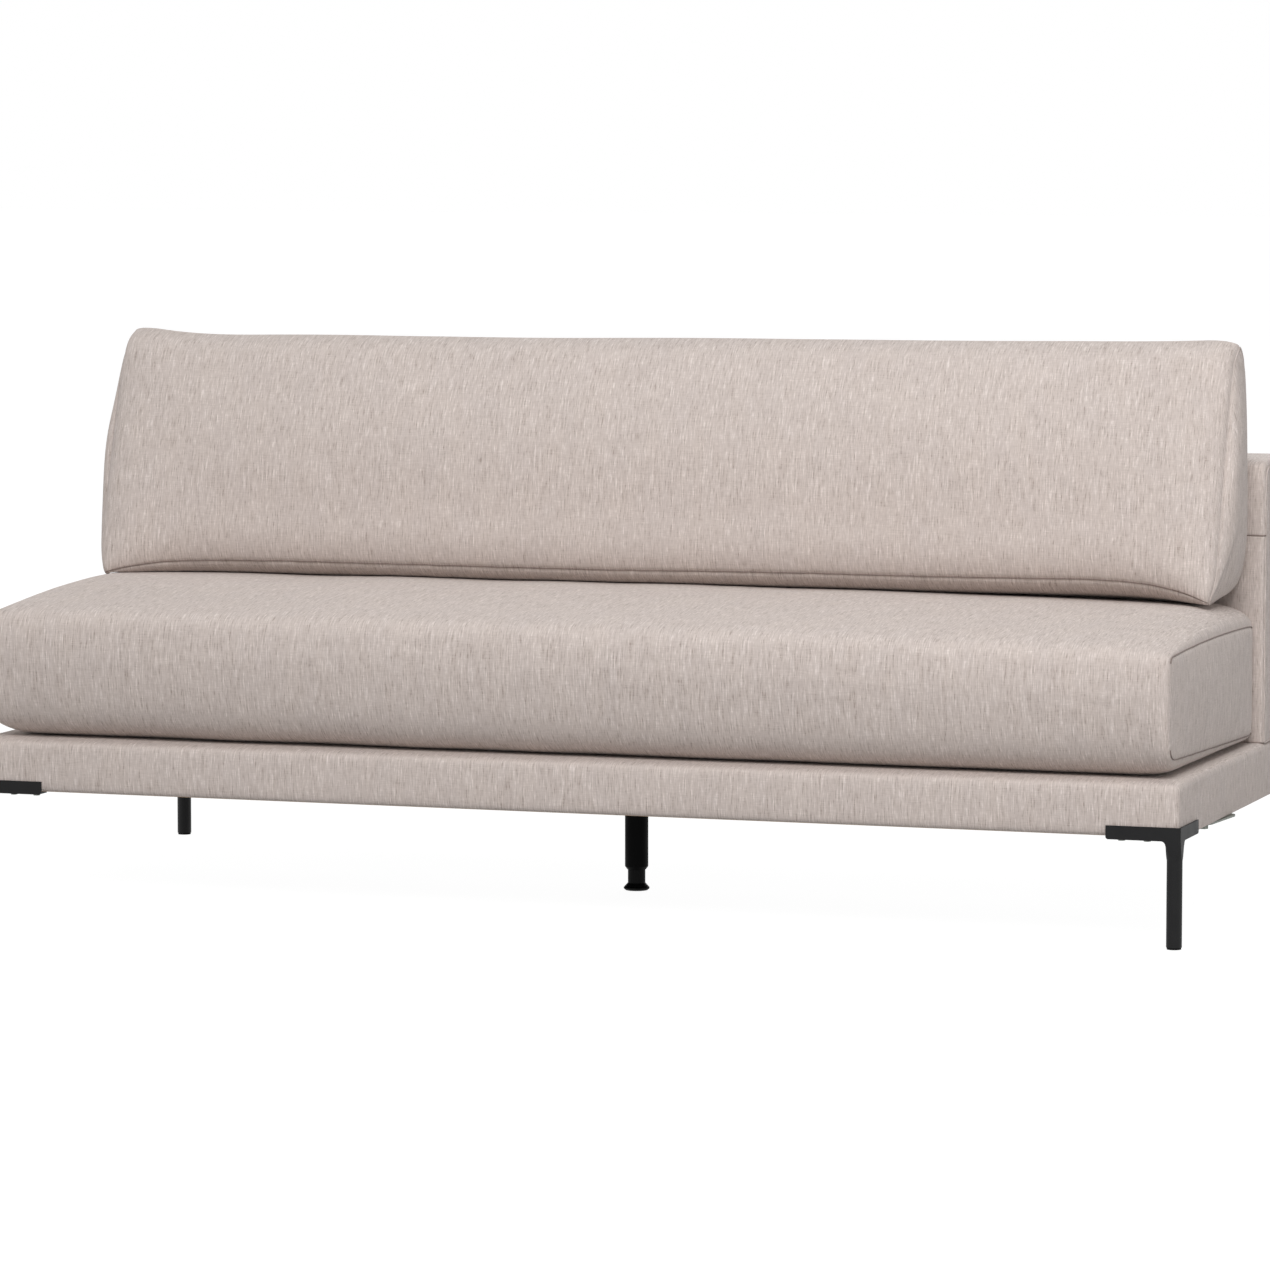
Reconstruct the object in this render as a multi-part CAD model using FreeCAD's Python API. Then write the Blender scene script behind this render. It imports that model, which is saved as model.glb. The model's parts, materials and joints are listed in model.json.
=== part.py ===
import FreeCAD, Part
import math
import os

from FreeCAD import Vector

# Armless dining banquette. Millimetres, floor at Z = 0, front at -Y, right-hand end at +X.

# Overall sizes
overall_width = 2000.0
overall_depth = 836.0
leg_height = 165.0
base_height = 87.0
backrest_height = 452.0
backrest_depth = 253.0

# Upholstery of the base and the backrest
fabric = 1.5
base_padding = 6.0
backrest_padding = 15.0
hem_width = 32.0
base_edge_radius = 10.0
backrest_edge_radius = 22.0

# Timber of the base
rail_thickness = 36.0
cross_rail_thickness = 28.0
cross_rail_height = 60.0
cross_rail_spacing = 490.0
centre_rail_width = 100.0
centre_rail_height = 40.0
corner_block_reach = 80.0
corner_block_height = 40.0

# Elastic webbing under the seat
strap_width = 60.0
strap_thickness = 2.5
strap_pitch = 130.0
straps_each_side = 7

# Boards and timber of the backrest
end_panel_thickness = 18.0
rib_thickness = 18.0
top_board_thickness = 12.0
thin_board_thickness = 5.0
bottom_rail_width = 40.0
bottom_rail_height = 28.0

# Bolts that hold the backrest down on the base
bolt_diameter = 8.0
bolt_head_width = 13.0
bolt_head_height = 5.3
bolt_nut_height = 6.5
bolt_end_reach = 2.5
bolt_hole_clearance = 0.3
washer_diameter = 16.0
washer_thickness = 1.6

# Corner legs: two arms, a screw plate and a round shank
arm_length = 117.0
arm_height = 21.0
arm_thickness = 3.0
arm_end_radius = 4.0
arm_fillet_radius = 7.0
leg_plate_thickness = 3.0
leg_plate_margin = 5.0
leg_plate_tab = 34.0
shank_diameter = 24.0
shank_wall = 2.0
shank_blend_length = 30.0
shank_bore_depth = 60.0
glide_height = 3.0
glide_rim_inset = 1.0
glide_spigot_length = 14.0
glide_fit = 0.05

# Hexagon-head wood screws of the legs and the support leg
screw_diameter = 6.0
screw_length = 30.0
screw_head_width = 10.0
screw_head_height = 4.0
screw_hole_clearance = 0.25
screw_pilot_clearance = 0.05
leg_screw_edge_distance = 25.0
leg_screw_near = 58.0
leg_screw_far = 98.0

# Height-adjustable support leg under the middle of the base
support_leg_y = -30.0
sleeve_diameter = 38.0
sleeve_lip_wall = 1.0
sleeve_bottom = 34.0
sleeve_chamfer_height = 5.0
support_plate_size = 80.0
support_screw_spacing = 60.0
stem_diameter = 28.4
stem_top = 112.0
stem_clearance = 0.1
foot_diameter = 42.0
foot_base_diameter = 36.0
foot_bevel_height = 2.5
foot_rim_height = 4.5
foot_height = 12.0

# Swivelling link plate under the right-hand rail
link_width = 30.0
link_thickness = 3.0
link_reach = 110.0
link_swing = 5.0
link_hole_diameter = 9.0
link_pivot_clearance = 0.1
link_pivot_inset = 20.5
link_pivot_y = -183.5
link_pivot_engagement = 40.0
link_gap = 0.3

# Seat cushion
seat_cushion_width = 1960.0
seat_overhang = 3.0
seat_front_bulge = 8.0
seat_front_low = 32.0
seat_front_high = 172.0
seat_underside_roll = 58.0
seat_edge_bow = 9.0
seat_top_roll = 48.0
seat_top_front_height = 211.0
seat_top_rear_height = 239.0
seat_crown_bow = 16.0
seat_crown_fall = 11.0
seat_level_share = 0.5
seat_end_roll_length = 70.0
seat_end_roll_top = 40.0
seat_end_roll_bottom = 26.0
seat_end_roll_front = 9.0

# Back cushion
back_cushion_width = 1896.0
back_cushion_seam_height = 368.0
back_cushion_bottom_depth = 180.0
back_cushion_top_depth = 93.0
back_front_crown = 28.0
back_top_crown = 6.0
back_bottom_crown = 16.0
back_ear_rise = 10.0
back_ear_drop = 10.0
back_end_bulge = 19.0
back_end_inset = 34.0
back_even_share = 0.6
back_end_fullness = 0.15

# Cushion covers, zips and the room left around soft pieces
cushion_cover = 3.0
core_gap = 0.2
rest_gap = 0.3
rear_gap = 0.5
cushion_on_cushion_gap = 0.5
zip_width = 12.0
zip_thickness = 1.2
zip_end_margin = 90.0
zip_lift = 34.0

# Levels
base_underside = leg_height + leg_plate_thickness
base_top = base_underside + base_height
frame_bottom = base_underside + fabric
strap_top = base_top - fabric - base_padding
frame_top = strap_top - strap_thickness
backrest_top = base_top + backrest_height
backrest_frame_bottom = base_top + fabric
backrest_frame_top = backrest_top - fabric - backrest_padding
backrest_panel_top = backrest_frame_top - top_board_thickness
bottom_rail_top = backrest_frame_bottom + bottom_rail_height

# Half sizes and faces of the base, from the outside in
half_width = overall_width / 2
half_depth = overall_depth / 2
cover_x = half_width - arm_thickness
cover_y = half_depth - arm_thickness
padding_x = cover_x - fabric
padding_y = cover_y - fabric
rail_x = padding_x - base_padding
rail_y = padding_y - base_padding
rail_inner_x = rail_x - rail_thickness
rail_inner_y = rail_y - rail_thickness

# Faces of the backrest, from the outside in
backrest_front = cover_y - backrest_depth
backrest_frame_x = cover_x - fabric - backrest_padding
backrest_frame_front = backrest_front + fabric + backrest_padding
backrest_frame_rear = cover_y - fabric - backrest_padding
backrest_inner_x = backrest_frame_x - end_panel_thickness
backrest_inner_front = backrest_frame_front + thin_board_thickness
backrest_inner_rear = backrest_frame_rear - thin_board_thickness
base_backrest_rail_rear = backrest_inner_front + rail_thickness

# Bolt rows: one in each rail that the backrest stands on, between the straps
front_bolt_y = backrest_inner_front + rail_thickness / 2
rear_bolt_y = (rail_inner_y + backrest_inner_rear) / 2
bolt_x = 5 * strap_pitch
bolt_places = [(x, y) for x in (-bolt_x, bolt_x) for y in (front_bolt_y, rear_bolt_y)]

# Cushion reference lines
seat_front = -cover_y - seat_overhang
seat_rear = backrest_front - rear_gap
seat_bottom = base_top + rest_gap

link_pivot_x = half_width - link_pivot_inset


def seat_top_height(y):
    """Height of the seat cushion's crowned top above the floor, half way along the cushion."""
    front, rear = seat_front + seat_top_roll, seat_rear
    low, high = seat_bottom + seat_top_front_height, seat_bottom + seat_top_rear_height
    chord = math.hypot(rear - front, high - low)
    radius = (chord ** 2 / 4 + seat_crown_bow ** 2) / (2 * seat_crown_bow)
    depth = (radius - seat_crown_bow) / chord
    centre_y = (front + rear) / 2 + depth * (high - low)
    centre_z = (low + high) / 2 - depth * (rear - front)
    return centre_z + math.sqrt(radius ** 2 - (y - centre_y) ** 2)


# The back cushion rests on the seat cushion's crown
back_bottom_middle_y = seat_rear - back_cushion_bottom_depth / 2
back_bottom = seat_top_height(back_bottom_middle_y) + cushion_on_cushion_gap


def block(x0, x1, y0, y1, z0, z1):
    return Part.makeBox(x1 - x0, y1 - y0, z1 - z0, Vector(x0, y0, z0))


def cylinder(diameter, x, y, z0, z1):
    return Part.makeCylinder(diameter / 2, z1 - z0, Vector(x, y, z0))


def rounded_block(x0, x1, y0, y1, z0, z1, radius):
    """A block with rounded top edges."""
    body = block(x0, x1, y0, y1, z0, z1)
    return body.makeFillet(radius, [edge for edge in body.Edges if edge.BoundBox.ZMin > z1 - 1e-6])


def hexagon(width, x, y, z0, z1):
    """A six-sided prism, width across its flats."""
    radius = width / math.sqrt(3)
    turns = [math.radians(60 * corner) for corner in range(7)]
    points = [Vector(x + radius * math.cos(turn), y + radius * math.sin(turn), z0) for turn in turns]
    return Part.Face(Part.makePolygon(points)).extrude(Vector(0, 0, z1 - z0))


def holes(places, width, z0, z1):
    """Holes for the hidden screws and bolts, six-sided as their shanks are drawn, to keep facets few."""
    return Part.makeCompound([hexagon(width, x, y, z0, z1) for x, y in places])


def turned(outline, x, y):
    """A solid of revolution about the upright axis through x, y."""
    return Part.Face(Part.Wire(outline)).revolve(Vector(x, y, 0), Vector(0, 0, 1), 360)


def polyline(points):
    return [Part.LineSegment(a, b).toShape() for a, b in zip(points, points[1:])]


def arc(start, middle, end):
    return Part.Arc(start, middle, end).toShape()


def to_corner(shape, right, front):
    """Carry a shape made at the front right corner to one of the four corners."""
    if not right:
        shape = shape.mirror(Vector(0, 0, 0), Vector(1, 0, 0))
    if not front:
        shape = shape.mirror(Vector(0, 0, 0), Vector(0, 1, 0))
    return shape


def corners():
    for front in (True, False):
        for right in (False, True):
            name = ("front_" if front else "rear_") + ("right" if right else "left")
            yield name, right, front


def leg_screw_places():
    places = []
    for name, right, front in corners():
        for along in (leg_screw_near, leg_screw_far):
            for x, y in ((along, leg_screw_edge_distance), (leg_screw_edge_distance, along)):
                places.append(((half_width - x) * (1 if right else -1),
                               (y - half_depth) * (1 if front else -1)))
    return places


def support_screw_places():
    half = support_screw_spacing / 2
    return [(x, support_leg_y + y) for x in (-half, half) for y in (-half, half)]


# Timber of the base
def drill_rail(rail):
    """Drill what is screwed or bolted through a piece of the base frame."""
    pilot = screw_diameter + 2 * screw_pilot_clearance
    screw_end = leg_height + screw_length
    rail = rail.cut(holes(leg_screw_places() + support_screw_places(), pilot, frame_bottom - 1, screw_end))
    bolt_hole = bolt_diameter + 2 * bolt_hole_clearance
    rail = rail.cut(holes(bolt_places, bolt_hole, frame_bottom - 1, frame_top + 1))
    pivot_hole = bolt_diameter + 2 * screw_pilot_clearance
    return rail.cut(cylinder(pivot_hole, link_pivot_x, link_pivot_y,
                             frame_bottom - 1, frame_bottom + link_pivot_engagement))


def long_rail(y0):
    return drill_rail(block(-rail_x, rail_x, y0, y0 + rail_thickness, frame_bottom, frame_top))


def end_rail(x0):
    return drill_rail(block(x0, x0 + rail_thickness, -rail_inner_y, rail_inner_y, frame_bottom, frame_top))


def base_backrest_rail():
    return drill_rail(block(-rail_inner_x, rail_inner_x, backrest_inner_front, base_backrest_rail_rear,
                            frame_bottom, frame_top))


def cross_rail(x, width, height):
    return drill_rail(block(x - width / 2, x + width / 2, -rail_inner_y, backrest_inner_front,
                            frame_bottom, frame_bottom + height))


def base_corner_blocks():
    top = Vector(0, 0, corner_block_height)
    blocks = []
    for name, right, front in corners():
        inner = Vector(rail_inner_x, -rail_inner_y, frame_bottom)
        triangle = Part.makePolygon([inner, inner + Vector(0, corner_block_reach, 0),
                                     inner - Vector(corner_block_reach, 0, 0), inner])
        blocks.append(to_corner(Part.Face(triangle).extrude(top), right, front))
    return Part.makeCompound(blocks)


def seat_webbing():
    straps = []
    for step in range(-straps_each_side, straps_each_side):
        middle = (step + 0.5) * strap_pitch
        straps.append(block(middle - strap_width / 2, middle + strap_width / 2,
                            -rail_y, base_backrest_rail_rear, frame_top, strap_top))
    return Part.makeCompound(straps)


# Upholstery of the base
def bolt_clearance_holes(z0, z1):
    return holes(bolt_places, bolt_diameter + 2 * bolt_hole_clearance, z0, z1)


def drill_underside(sheet):
    """Holes for the screws and bolts that pass a sheet under the base."""
    below, above = base_underside - 1, frame_bottom + 1
    screw_hole = screw_diameter + 2 * screw_hole_clearance
    sheet = sheet.cut(holes(leg_screw_places() + support_screw_places(), screw_hole, below, above))
    sheet = sheet.cut(bolt_clearance_holes(below, above))
    pivot_hole = bolt_diameter + 2 * screw_hole_clearance
    return sheet.cut(cylinder(pivot_hole, link_pivot_x, link_pivot_y, below, above))


def base_padding_inner():
    return rounded_block(-padding_x, padding_x, -padding_y, padding_y, frame_bottom, base_top - fabric,
                         base_edge_radius - fabric)


def base_padding_wrap():
    room = block(-rail_x, rail_x, -rail_y, rail_y, frame_bottom - 1, strap_top)
    return base_padding_inner().cut(room).cut(bolt_clearance_holes(strap_top - 1, base_top))


def base_cover():
    """Fabric over the top and sides, turned under the frame as a hem."""
    skin = rounded_block(-cover_x, cover_x, -cover_y, cover_y, base_underside, base_top,
                         base_edge_radius)
    skin = skin.cut(base_padding_inner())
    mouth_x, mouth_y = padding_x - hem_width, padding_y - hem_width
    skin = skin.cut(block(-mouth_x, mouth_x, -mouth_y, mouth_y, base_underside - 1, frame_bottom + 1))
    return drill_underside(skin).cut(bolt_clearance_holes(strap_top, base_top + 1))


def dust_cover():
    mouth_x, mouth_y = padding_x - hem_width, padding_y - hem_width
    return drill_underside(block(-mouth_x, mouth_x, -mouth_y, mouth_y, base_underside, frame_bottom))


# Frame and upholstery of the backrest
def backrest_end_panel(x0):
    return block(x0, x0 + end_panel_thickness, backrest_frame_front, backrest_frame_rear,
                 backrest_frame_bottom, backrest_panel_top)


def backrest_rib(x):
    return block(x - rib_thickness / 2, x + rib_thickness / 2, backrest_inner_front, backrest_inner_rear,
                 bottom_rail_top, backrest_panel_top)


def backrest_top_board():
    return block(-backrest_frame_x, backrest_frame_x, backrest_frame_front, backrest_frame_rear,
                 backrest_panel_top, backrest_frame_top)


def backrest_thin_board(y0):
    return block(-backrest_inner_x, backrest_inner_x, y0, y0 + thin_board_thickness,
                 backrest_frame_bottom, backrest_panel_top)


def backrest_bottom_rail(y0):
    rail = block(-backrest_inner_x, backrest_inner_x, y0, y0 + bottom_rail_width,
                 backrest_frame_bottom, bottom_rail_top)
    return rail.cut(bolt_clearance_holes(backrest_frame_bottom - 1, bottom_rail_top + 1))


def backrest_padding_inner():
    return rounded_block(-cover_x + fabric, cover_x - fabric, backrest_front + fabric, cover_y - fabric,
                         backrest_frame_bottom, backrest_top - fabric,
                         backrest_edge_radius - fabric)


def backrest_padding_wrap():
    room = block(-backrest_frame_x, backrest_frame_x, backrest_frame_front, backrest_frame_rear,
                 backrest_frame_bottom - 1, backrest_frame_top)
    return backrest_padding_inner().cut(room)


def backrest_cover():
    """Fabric over the front, top, ends and rear, turned under as a hem."""
    skin = rounded_block(-cover_x, cover_x, backrest_front, cover_y, base_top, backrest_top,
                         backrest_edge_radius)
    skin = skin.cut(backrest_padding_inner())
    mouth = block(-backrest_frame_x, backrest_frame_x, backrest_frame_front, backrest_frame_rear,
                  base_top - 1, backrest_frame_bottom + 1)
    return skin.cut(mouth)


def backrest_bolt(x, y):
    head_top = base_underside - washer_thickness
    head = hexagon(bolt_head_width, x, y, head_top - bolt_head_height, head_top)
    shank_top = bottom_rail_top + bolt_nut_height + bolt_end_reach
    return head.fuse(hexagon(bolt_diameter, x, y, head_top, shank_top))


def backrest_bolts():
    return Part.makeCompound([backrest_bolt(x, y) for x, y in bolt_places])


def washer(x, y, top):
    bottom = top - washer_thickness
    bore = hexagon(bolt_diameter + 2 * bolt_hole_clearance, x, y, bottom - 1, top + 1)
    return cylinder(washer_diameter, x, y, bottom, top).cut(bore)


def bolt_washers():
    """Washers under the heads of the backrest bolts and of the link plate's pivot bolt."""
    washers = [washer(x, y, base_underside) for x, y in bolt_places]
    return Part.makeCompound(washers + [washer(link_pivot_x, link_pivot_y, link_washer_top)])


def backrest_nuts():
    top = bottom_rail_top + bolt_nut_height
    nuts = [hexagon(bolt_head_width, x, y, bottom_rail_top, top) for x, y in bolt_places]
    bores = holes(bolt_places, bolt_diameter, bottom_rail_top - 1, top + 1)
    return Part.makeCompound([nut.cut(bores) for nut in nuts])


# Corner legs
def arm(to_point, inward):
    """One arm of a corner leg: it runs along the base and turns down into the shank in a fillet."""
    top = leg_height + arm_height
    fillet_start = shank_diameter + arm_fillet_radius
    lean = math.sqrt(0.5)
    end_middle = arm_end_radius * (1 - lean)
    fillet_middle = arm_fillet_radius * (1 - lean)
    bite = shank_diameter / 3
    outline = polyline([to_point(0, leg_height), to_point(0, top), to_point(arm_length, top),
                        to_point(arm_length, leg_height + arm_end_radius)])
    outline.append(arc(to_point(arm_length, leg_height + arm_end_radius),
                       to_point(arm_length - end_middle, leg_height + end_middle),
                       to_point(arm_length - arm_end_radius, leg_height)))
    outline += polyline([to_point(arm_length - arm_end_radius, leg_height), to_point(fillet_start, leg_height)])
    outline.append(arc(to_point(fillet_start, leg_height),
                       to_point(shank_diameter + fillet_middle, leg_height - fillet_middle),
                       to_point(shank_diameter, leg_height - arm_fillet_radius)))
    outline += polyline([to_point(shank_diameter, leg_height - arm_fillet_radius),
                         to_point(shank_diameter - bite, leg_height - arm_fillet_radius),
                         to_point(shank_diameter - bite, leg_height), to_point(0, leg_height)])
    return Part.Face(Part.Wire(outline)).extrude(inward)


def shank_blend(x, y, bottom):
    """Upper end of the shank: a square under the arms whose corners fade into the round tube.

    A cone that is as wide as the tube below and reaches the square's corners above trims the square."""
    half = shank_diameter / 2
    square = block(x - half, x + half, y - half, y + half, bottom, leg_height)
    cone = Part.makeCone(half, half * math.sqrt(2), leg_height - bottom, Vector(x, y, bottom))
    return square.common(cone)


def corner_leg():
    """Front right leg: arms, screw plate and a shank that turns from square to round."""
    front = arm(lambda u, z: Vector(half_width - u, -half_depth, z), Vector(0, arm_thickness, 0))
    side = arm(lambda u, z: Vector(half_width, -half_depth + u, z), Vector(-arm_thickness, 0, 0))
    reach = arm_length - leg_plate_margin
    plate_points = ((0, 0), (reach, 0), (reach, leg_plate_tab), (leg_plate_tab, reach), (0, reach), (0, 0))
    plate_wire = Part.makePolygon([Vector(half_width - u, -half_depth + v, leg_height) for u, v in plate_points])
    plate = Part.Face(plate_wire).extrude(Vector(0, 0, leg_plate_thickness))
    screw_hole = screw_diameter + 2 * screw_hole_clearance
    plate = plate.cut(holes(leg_screw_places(), screw_hole, leg_height - 1, base_underside + 1))
    x, y = half_width - shank_diameter / 2, -half_depth + shank_diameter / 2
    blend_bottom = leg_height - shank_blend_length
    blend = shank_blend(x, y, blend_bottom)
    tube = cylinder(shank_diameter, x, y, glide_height, blend_bottom)
    leg = plate.fuse([front, side, blend, tube]).removeSplitter()
    bore = shank_diameter - 2 * shank_wall
    return leg.cut(cylinder(bore, x, y, glide_height - 1, glide_height + shank_bore_depth))


def glide():
    """Plastic glide of the front right leg: a low foot with a six-sided plug that grips the tube's bore."""
    x, y = half_width - shank_diameter / 2, -half_depth + shank_diameter / 2
    rim = shank_diameter / 2 - glide_rim_inset
    bore = shank_diameter - 2 * (shank_wall + glide_fit)
    top = glide_height + glide_spigot_length
    spigot = hexagon(bore * math.sqrt(3) / 2, x, y, glide_height, top)
    return cylinder(2 * rim, x, y, 0, glide_height).fuse(spigot)


def leg_glides():
    return Part.makeCompound([to_corner(glide(), right, front) for name, right, front in corners()])


def wood_screw(x, y):
    """Screw driven up through a plate whose underside is at the leg height."""
    head = hexagon(screw_head_width, x, y, leg_height - screw_head_height, leg_height)
    return head.fuse(hexagon(screw_diameter, x, y, leg_height, leg_height + screw_length))


def wood_screws(places):
    return Part.makeCompound([wood_screw(x, y) for x, y in places])


# Support leg under the middle
def centre_leg_sleeve():
    """Sleeve with a chamfered lower lip, hanging from its screw plate."""
    outer = sleeve_diameter / 2
    bore = stem_diameter / 2 + stem_clearance
    outline = ((bore, sleeve_bottom), (bore + sleeve_lip_wall, sleeve_bottom),
               (outer, sleeve_bottom + sleeve_chamfer_height), (outer, leg_height),
               (bore, leg_height), (bore, sleeve_bottom))
    tube = turned(polyline([Vector(radius, support_leg_y, z) for radius, z in outline]), 0, support_leg_y)
    half = support_plate_size / 2
    plate = block(-half, half, support_leg_y - half, support_leg_y + half, leg_height, base_underside)
    screw_hole = screw_diameter + 2 * screw_hole_clearance
    plate = plate.cut(holes(support_screw_places(), screw_hole, leg_height - 1, base_underside + 1))
    return plate.fuse(tube).removeSplitter()


def centre_leg_foot():
    """Foot with a bevelled rim and a sloping top, on a stem that screws into the sleeve."""
    stem, rim, base = stem_diameter / 2, foot_diameter / 2, foot_base_diameter / 2
    outline = ((0, 0), (base, 0), (rim, foot_bevel_height), (rim, foot_rim_height),
               (stem, foot_height), (stem, stem_top), (0, stem_top), (0, 0))
    return turned(polyline([Vector(radius, support_leg_y, z) for radius, z in outline]), 0, support_leg_y)


# Link plate for a neighbouring unit
link_top = base_underside - link_gap
link_bottom = link_top - link_thickness
link_washer_top = link_bottom - link_gap
link_washer_bottom = link_washer_top - washer_thickness
link_along = Vector(math.sin(math.radians(link_swing)), math.cos(math.radians(link_swing)), 0)


def link_plate():
    """Flat bar with round ends, a pivot hole and a bolt hole."""
    pivot = Vector(link_pivot_x, link_pivot_y, link_bottom)
    tip = pivot + link_along * link_reach
    across = Vector(link_along.y, -link_along.x, 0) * (link_width / 2)
    end = link_along * (link_width / 2)
    outline = [Part.LineSegment(pivot + across, tip + across).toShape(),
               arc(tip + across, tip + end, tip - across),
               Part.LineSegment(tip - across, pivot - across).toShape(),
               arc(pivot - across, pivot - end, pivot + across)]
    bar = Part.Face(Part.Wire(outline)).extrude(Vector(0, 0, link_thickness))
    pivot_hole = bolt_diameter + 2 * link_pivot_clearance
    bar = bar.cut(cylinder(pivot_hole, pivot.x, pivot.y, link_bottom - 1, link_top + 1))
    return bar.cut(cylinder(link_hole_diameter, tip.x, tip.y, link_bottom - 1, link_top + 1))


def link_pivot_bolt():
    head = hexagon(bolt_head_width, link_pivot_x, link_pivot_y,
                   link_washer_bottom - bolt_head_height, link_washer_bottom)
    return head.fuse(cylinder(bolt_diameter, link_pivot_x, link_pivot_y,
                              link_washer_bottom, frame_bottom + link_pivot_engagement))


# Seat cushion
def seat_section(x, roll, fall, inset):
    """Cross-section of the seat cushion: flat below and behind, a rounded front and a crowned top.

    roll runs from 0 to 1 where the cushion turns down to its end panel, and fall is how much lower
    the top is than in the middle."""
    bottom = seat_bottom + inset + seat_end_roll_bottom * roll
    drop = inset + seat_end_roll_top * roll
    top_front_height = seat_bottom + seat_top_front_height - drop - fall
    top_rear_height = seat_bottom + seat_top_rear_height - drop - fall
    front = seat_front + inset + seat_end_roll_front * roll
    rear = seat_rear - inset
    low = seat_bottom + seat_front_low + (bottom - seat_bottom) / 2
    high = seat_bottom + seat_front_high - drop / 2

    def at(y, z):
        return Vector(x, y, z)

    def bowed(start, end, bow):
        chord = end - start
        outward = Vector(0, -chord.z, chord.y).normalize()
        return arc(start, (start + end) * 0.5 + outward * bow, end)

    under = at(front + seat_underside_roll, bottom)
    lower, upper = at(front, low), at(front, high)
    top_front, top_rear = at(front + seat_top_roll, top_front_height), at(rear, top_rear_height)
    return Part.Wire([
        Part.LineSegment(at(rear, bottom), under).toShape(),
        bowed(under, lower, seat_edge_bow),
        bowed(lower, upper, seat_front_bulge),
        bowed(upper, top_front, seat_edge_bow),
        bowed(top_front, top_rear, seat_crown_bow),
        Part.LineSegment(top_rear, at(rear, bottom)).toShape()])


def seat_form(inset):
    half = seat_cushion_width / 2 - inset
    level = half - seat_end_roll_length
    stations = [(level + seat_end_roll_length * roll ** 0.4, roll, seat_crown_fall) for roll in (1.0, 0.3, 0.0)]
    stations.append((level * seat_level_share, 0.0, 0.0))
    places = [(-x, roll, fall) for x, roll, fall in stations] + stations[::-1]
    return Part.makeLoft([seat_section(*place, inset) for place in places], True, True)


def zip_strip(half_length, rear, z):
    return block(-half_length, half_length, rear - zip_thickness, rear, z, z + zip_width)


def seat_cushion_zip():
    low = seat_bottom + seat_end_roll_bottom + zip_lift
    return zip_strip(seat_cushion_width / 2 - zip_end_margin, seat_rear, low)


def seat_cushion_cover():
    return seat_form(0).cut(seat_form(cushion_cover)).cut(seat_cushion_zip())


# Back cushion
def back_section(x, ear, shrink, inset):
    """Cross-section of the back cushion: a wedge with an upright rear, a leaning crowned front and
    seams along its four edges. ear runs from 0 in the even middle to 1 at the end, where the corners
    stand out, and shrink is how far the outline is drawn in on the bulge of the end."""
    pull = inset + shrink
    rear = seat_rear - inset - shrink / 2
    low = back_bottom + back_bottom_crown - back_ear_drop * ear + pull
    high = back_bottom + back_bottom_crown + back_cushion_seam_height + back_ear_rise * ear - pull
    front_low = Vector(x, seat_rear - back_cushion_bottom_depth + pull, low)
    front_high = Vector(x, seat_rear - back_cushion_top_depth + pull, high)
    rear_low, rear_high = Vector(x, rear, low), Vector(x, rear, high)
    chord = front_high - front_low
    forward = Vector(0, -chord.z, chord.y).normalize()
    crown = back_front_crown * (1 - (1 - back_end_fullness) * ear)
    front_middle = (front_low + front_high) * 0.5 + forward * crown
    top_middle = (front_high + rear_high) * 0.5 + Vector(0, 0, back_top_crown)
    bottom_middle = (front_low + rear_low) * 0.5 - Vector(0, 0, back_bottom_crown)
    return Part.Wire([
        arc(rear_low, bottom_middle, front_low),
        arc(front_low, front_middle, front_high),
        arc(front_high, top_middle, rear_high),
        Part.LineSegment(rear_high, rear_low).toShape()])


def back_form(inset):
    half = back_cushion_width / 2 - inset
    stations = [(half + back_end_bulge * bulge, 1.0, back_end_inset * bulge ** 2) for bulge in (1.0, 0.6)]
    stations += [(half, 1.0, 0.0), (half * back_even_share, 0.0, 0.0)]
    places = [(-x, ear, shrink) for x, ear, shrink in stations] + stations[::-1]
    return Part.makeLoft([back_section(*place, inset) for place in places], True, True)


def back_cushion_zip():
    low = back_bottom + back_bottom_crown + zip_lift
    return zip_strip(back_cushion_width / 2 - zip_end_margin, seat_rear, low)


def back_cushion_cover():
    return back_form(0).cut(back_form(cushion_cover)).cut(back_cushion_zip())


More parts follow.
